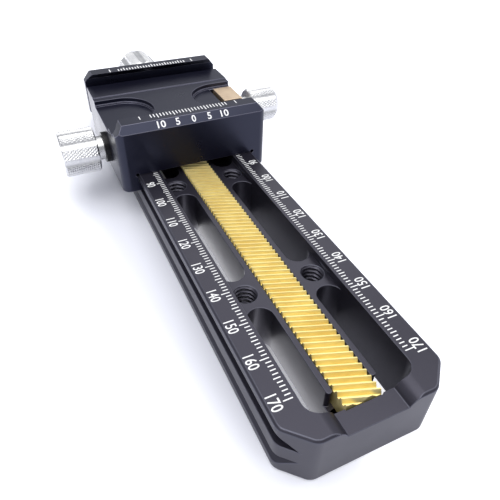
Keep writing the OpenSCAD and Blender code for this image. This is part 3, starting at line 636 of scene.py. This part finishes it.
# Carriage. One block of aluminium with the rail's dovetail cut along it, the fixed jaw in front, the clamp
# floor with two round pockets behind it, blasted and anodised like the rail. Its black is a darker copy of
# the rail's anodise, with a weaker specular: painted shade.
# Painted shade: the same anodise as the rail, made darker and with a weaker specular.
carriage_shaded_black = grained("black_anodised_carriage", (0.0045, 0.0046, 0.0105), 0.30, specular=0.66,
                         tint=(0.66, 0.70, 1.0))
# The broken edges are lighter and more metallic than the black: painted highlight along the edges.
carriage_highlight_edge = grained("broken_edge_carriage", (0.12, 0.12, 0.16), 0.30, metallic=0.5, specular=0.9,
                        tint=(0.85, 0.85, 1.0), spread=0.2)
carriage_low, carriage_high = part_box("carriage_body")
clamp_edge = 0.00012
carriage = softened("carriage_body", "carriage_block", clamp_edge, carriage_shaded_black, carriage_highlight_edge)
even_normals(carriage)
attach(carriage, "carriage")
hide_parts("carriage_body")

# Centring scale of the fixed jaw. Marks 1 mm apart on the jaw's top and numbers on its slanting face,
# engraved white like the rail's scales.
jaw_top = carriage_high.z
fixed_mark_y = carriage_low.y + 0.0061
slant_middle = 0.00105


def centre_strips(y, outward, outer_x, outer_reach, long, short, line):
    """Marks 1 mm apart on a jaw's top, with one more on its own at either end."""
    strips = []
    for start, count, first, reach in ((-12 * scale_pitch, 25, -12, long), (-outer_x, 1, 0, outer_reach),
                                       (outer_x, 1, 0, outer_reach)):
        strip = tree_piece("marks_jaw", scale_marks, Count=count, First=first,
                           Start=(start, y, jaw_top + flush), Pitch=(scale_pitch, 0.0, 0.0),
                           Outward=outward, Long=reach, Middle=reach, Short=short, Line=line, Paint=engraved)
        strips.append(strip.data)
        bpy.data.objects.remove(strip)
    return strips


centre_parts = centre_strips(fixed_mark_y, (0.0, -1.0, 0.0), 0.01535, 0.0020, 0.0026, 0.0020, 0.00030)
jaw_slant = Matrix.Rotation(math.radians(45), 4, "X")
slant_y = carriage_low.y + slant_middle
slant_z = jaw_top - slant_middle
for value in (-10, -5, 0, 5, 10):
    digits = number_mesh(str(abs(value)), 0.00215, 0.00140, 0.018)
    digits.transform(jaw_slant)
    digits.transform(Matrix.Translation((value * scale_pitch, slant_y - flush, slant_z + flush)))
    centre_parts.append(digits)
jaw_scale = piece_from(joined("fixed_jaw_scale", centre_parts), "fixed_jaw_scale", engraved)
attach(jaw_scale, "carriage")

# Small parts in the carriage. A black acetal bushing and a bronze bush carry the pinion's shaft; two
# steel pins guide the moving jaw and two wire springs, seated in the carriage, push it open.
black_acetal = grained("black_acetal", (0.004, 0.004, 0.005), 0.36, specular=0.35, spread=0.4, grain=2500.0)
finish_node("pinion_bushing", black_acetal)
bush_bronze = machined("bush_bronze", (0.66, 0.44, 0.18), (0.45, 0.29, 0.11), 0.40, (4000.0, 4000.0, 4000.0))
finish_node("inner_bush", bush_bronze)
pin_steel = machined("pin_steel", (0.66, 0.66, 0.67), (0.50, 0.50, 0.51), 0.28, (5000.0, 300.0, 5000.0))
finish_node("guide_pins", pin_steel)
spring_steel = machined("spring_steel", (0.50, 0.50, 0.52), (0.34, 0.34, 0.36), 0.35,
                        (3000.0, 3000.0, 3000.0))
spring_mesh = cad["jaw_springs"].data.copy()
spring_mesh.materials.clear()
springs = piece_from(spring_mesh, "jaw_springs_wire", spring_steel)
even_normals(springs)
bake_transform(springs)
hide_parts("jaw_springs")

# Pinion and its shaft. The steel pinion's teeth lean to match the rack; it is pressed on a ground shaft
# between two brass thrust washers.
pinion_steel = machined("pinion_steel", (0.55, 0.55, 0.57), (0.38, 0.38, 0.40), 0.32,
                        (600.0, 4000.0, 4000.0))
finish_node("pinion_gear", pinion_steel)
shaft_steel = machined("shaft_steel", (0.68, 0.68, 0.69), (0.55, 0.55, 0.56), 0.22, (6000.0, 400.0, 400.0))
finish_node("pinion_shaft", shaft_steel)
washer_brass = machined("washer_brass", (0.78, 0.56, 0.22), (0.55, 0.37, 0.13), 0.35,
                        (4000.0, 4000.0, 4000.0))
finish_node("pinion_washers", washer_brass)

# Drive knob. Turned from bright aluminium, knurled in diamonds, then milled with eight shallow flutes.
# A grub screw in one land holds it on the shaft, and a plain collar keeps it off the bushing.
def knob_tree():
    """A knob along +Z: chamfered ends, milled flutes and a diamond knurl on the lands between them."""
    tree = bpy.data.node_groups.new("fluted_knob", "GeometryNodeTree")
    sizes = ("Radius", "Length", "Inner chamfer", "Outer chamfer", "Flutes", "Flute depth", "Cutter",
             "Diamonds", "Diamond length", "Knurl depth")
    sockets(tree, "INPUT", {name: "Float" for name in sizes} | {"Metal": "Material"})
    sockets(tree, "OUTPUT", {"Geometry": "Geometry"})
    nodes, links = tree.nodes, tree.links
    given = nodes.new("NodeGroupInput")
    result = nodes.new("NodeGroupOutput")

    def do(operation, *values):
        """One Math node of this tree."""
        return calc(nodes, links, operation, *values)

    grid = nodes.new("GeometryNodeMeshGrid")
    grid.inputs["Size X"].default_value = 1
    grid.inputs["Size Y"].default_value = 1
    grid.inputs["Vertices X"].default_value = 513
    grid.inputs["Vertices Y"].default_value = 97
    where = nodes.new("GeometryNodeInputPosition")
    apart = nodes.new("ShaderNodeSeparateXYZ")
    links.new(where.outputs[0], apart.inputs[0])
    round_share = do("ADD", apart.outputs["X"], 0.5)
    angle = do("MULTIPLY", round_share, math.tau)
    along = do("ADD", apart.outputs["Y"], 0.5)
    end_share = 0.04
    low_end = do("DIVIDE", along, end_share)
    high_end = do("DIVIDE", do("SUBTRACT", 1.0, along), end_share)
    face_share = do("MINIMUM", do("MINIMUM", low_end, high_end), 1.0)
    stretch = do("DIVIDE", do("SUBTRACT", along, end_share), 1 - 2 * end_share)
    share = do("MINIMUM", do("MAXIMUM", stretch, 0.0), 1.0)
    z = do("MULTIPLY", share, given.outputs["Length"])
    inner = do("ADD", do("SUBTRACT", given.outputs["Radius"], given.outputs["Inner chamfer"]), z)
    outer = do("ADD", do("SUBTRACT", given.outputs["Radius"], given.outputs["Outer chamfer"]),
               do("SUBTRACT", given.outputs["Length"], z))
    turned = do("MINIMUM", inner, outer)
    off_flute = do("PINGPONG", angle, do("DIVIDE", math.pi, given.outputs["Flutes"]))
    cutter_x = do("SUBTRACT", do("ADD", given.outputs["Radius"], given.outputs["Cutter"]),
                  given.outputs["Flute depth"])
    side_reach = do("MULTIPLY", cutter_x, do("SINE", off_flute))
    inside = do("SUBTRACT", do("MULTIPLY", given.outputs["Cutter"], given.outputs["Cutter"]),
                do("MULTIPLY", side_reach, side_reach))
    milled = do("SUBTRACT", do("MULTIPLY", cutter_x, do("COSINE", off_flute)),
                do("SQRT", do("MAXIMUM", inside, 0.0)))
    flute = do("ADD", milled, do("LESS_THAN", inside, 0.0))
    turns = do("MULTIPLY", round_share, given.outputs["Diamonds"])
    climbs = do("DIVIDE", z, given.outputs["Diamond length"])
    one_way = do("PINGPONG", do("ADD", turns, climbs), 0.5)
    other_way = do("PINGPONG", do("SUBTRACT", turns, climbs), 0.5)
    diamond = do("MULTIPLY", do("MINIMUM", one_way, other_way), 2.0)
    crest = do("MINIMUM", do("MULTIPLY", diamond, 1.25), 1.0)
    knurl = do("SUBTRACT", given.outputs["Radius"],
               do("MULTIPLY", do("SUBTRACT", 1.0, crest), given.outputs["Knurl depth"]))
    r = do("MULTIPLY", do("MINIMUM", do("MINIMUM", turned, flute), knurl), face_share)
    spot = nodes.new("ShaderNodeCombineXYZ")
    links.new(do("MULTIPLY", r, do("COSINE", angle)), spot.inputs["X"])
    links.new(do("MULTIPLY", r, do("SINE", angle)), spot.inputs["Y"])
    links.new(z, spot.inputs["Z"])
    move = nodes.new("GeometryNodeSetPosition")
    links.new(grid.outputs["Mesh"], move.inputs["Geometry"])
    links.new(spot.outputs["Vector"], move.inputs["Position"])
    weld = nodes.new("GeometryNodeMergeByDistance")
    weld.inputs["Distance"].default_value = 0.000001
    links.new(move.outputs["Geometry"], weld.inputs["Geometry"])
    real = nodes.new("GeometryNodeRealizeInstances")
    links.new(weld.outputs["Geometry"], real.inputs["Geometry"])
    paint = nodes.new("GeometryNodeSetMaterial")
    links.new(real.outputs["Geometry"], paint.inputs["Geometry"])
    links.new(given.outputs["Metal"], paint.inputs["Material"])
    links.new(paint.outputs["Geometry"], result.inputs["Geometry"])
    return tree


fluted_knob = knob_tree()
knob_aluminium = machined("knob_aluminium", (0.90, 0.90, 0.89), (0.72, 0.72, 0.73), 0.34,
                          (2500.0, 2500.0, 2500.0), relief=0.0)
inner_chamfer = 0.0006
flutes = 8
flute_depth = 0.00055
flute_cutter_r = 0.0024
diamond_length = 0.0013
knurl_depth = 0.00025
grub_hole_r = 0.0015


def knob_piece(node, radius, outer_chamfer, diamonds, outward):
    """A knurled knob in place of a CAD node, drilled for its grub screw."""
    low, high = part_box(node)
    middle = (low + high) / 2
    length = abs((high - low).dot(outward))
    knob = tree_piece(node + "_turned", fluted_knob, Radius=radius, Length=length,
                      Inner_chamfer=inner_chamfer, Outer_chamfer=outer_chamfer, Flutes=float(flutes),
                      Flute_depth=flute_depth, Cutter=flute_cutter_r, Diamonds=diamonds,
                      Diamond_length=diamond_length, Knurl_depth=knurl_depth, Metal=knob_aluminium)
    drill_mesh = bpy.data.meshes.new("drill")
    drill = bmesh.new()
    bmesh.ops.create_cone(drill, cap_ends=True, segments=40, radius1=grub_hole_r, radius2=grub_hole_r,
                          depth=radius * 0.7)
    drill.to_mesh(drill_mesh)
    drill.free()
    on_land = Matrix.Rotation(math.pi / flutes, 4, "Z")
    drill_mesh.transform(on_land @ Matrix.Translation((radius * 0.95, 0, length / 2))
                         @ Matrix.Rotation(math.pi / 2, 4, "Y"))
    cut_away(knob, piece_from(drill_mesh, "drill"), "grub_hole")
    knob.data.transform(Matrix.Translation(middle - outward * length / 2)
                        @ Vector((0, 0, 1)).rotation_difference(outward).to_matrix().to_4x4())
    return knob


drive_knob = knob_piece("drive_knob", 0.0071, 0.0006, 48.0, Vector((-1, 0, 0)))
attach(drive_knob, "pinion")
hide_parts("drive_knob")
collar_aluminium = machined("collar_aluminium", (0.80, 0.80, 0.79), (0.62, 0.62, 0.62), 0.28,
                            (6000.0, 500.0, 500.0))
finish_node("drive_collar", collar_aluminium)
grub_steel = machined("grub_steel", (0.20, 0.20, 0.21), (0.10, 0.10, 0.11), 0.40, (3000.0, 3000.0, 3000.0))
finish_node("drive_grub_screw", grub_steel)

# Brake block. A block of pale brass in the carriage's right pocket that the lock screw draws against
# the rail. Its top is sanded, so fine scratches run across it.
block_brass = machined("block_brass", (0.80, 0.65, 0.48), (0.68, 0.53, 0.38), 0.50, (500.0, 5000.0, 2500.0),
                       turn=0.35)
block = softened("brake_block", "brake_block_brass", 0.00018, block_brass, block_brass)
even_normals(block)
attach(block, "brake")
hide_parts("brake_block")

# Lock knob. A smaller knob of the same make on the lock screw, right of the brake block, with its
# outer end turned down more. A black washer lies under its collar.
lock_knob = knob_piece("lock_knob", 0.0061, 0.0016, 42.0, Vector((1, 0, 0)))
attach(lock_knob, "lock")
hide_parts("lock_knob")
finish_node("lock_collar", collar_aluminium)
finish_node("lock_screw", shaft_steel)
finish_node("lock_washer", black_acetal)
finish_node("lock_grub_screw", grub_steel)

# Moving jaw. A plain anodised plate behind the carriage with the second lip of the clamp, marked like
# the fixed jaw but without numbers.
moving_jaw = softened("moving_jaw", "moving_jaw_plate", clamp_edge, carriage_shaded_black, carriage_highlight_edge)
even_normals(moving_jaw)
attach(moving_jaw, "jaw")
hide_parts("moving_jaw")
moving_mark_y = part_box("moving_jaw")[0].y + 0.0003
rear_parts = centre_strips(moving_mark_y, (0.0, 1.0, 0.0), 0.015, 0.0023, 0.0023, 0.0017, 0.00040)
rear_scale = piece_from(joined("moving_jaw_scale", rear_parts), "moving_jaw_scale", engraved)
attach(rear_scale, "jaw")

# Clamp knob. The largest of the three knobs, on the screw that draws the moving jaw forward, with its
# collar and a black washer against the jaw.
clamp_knob = knob_piece("clamp_knob", 0.0073, 0.0006, 50.0, Vector((0, 1, 0)))
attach(clamp_knob, "clamp")
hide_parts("clamp_knob")
finish_node("clamp_collar", collar_aluminium)
finish_node("clamp_screw", shaft_steel)
finish_node("clamp_washer", black_acetal)
finish_node("clamp_grub_screw", grub_steel)
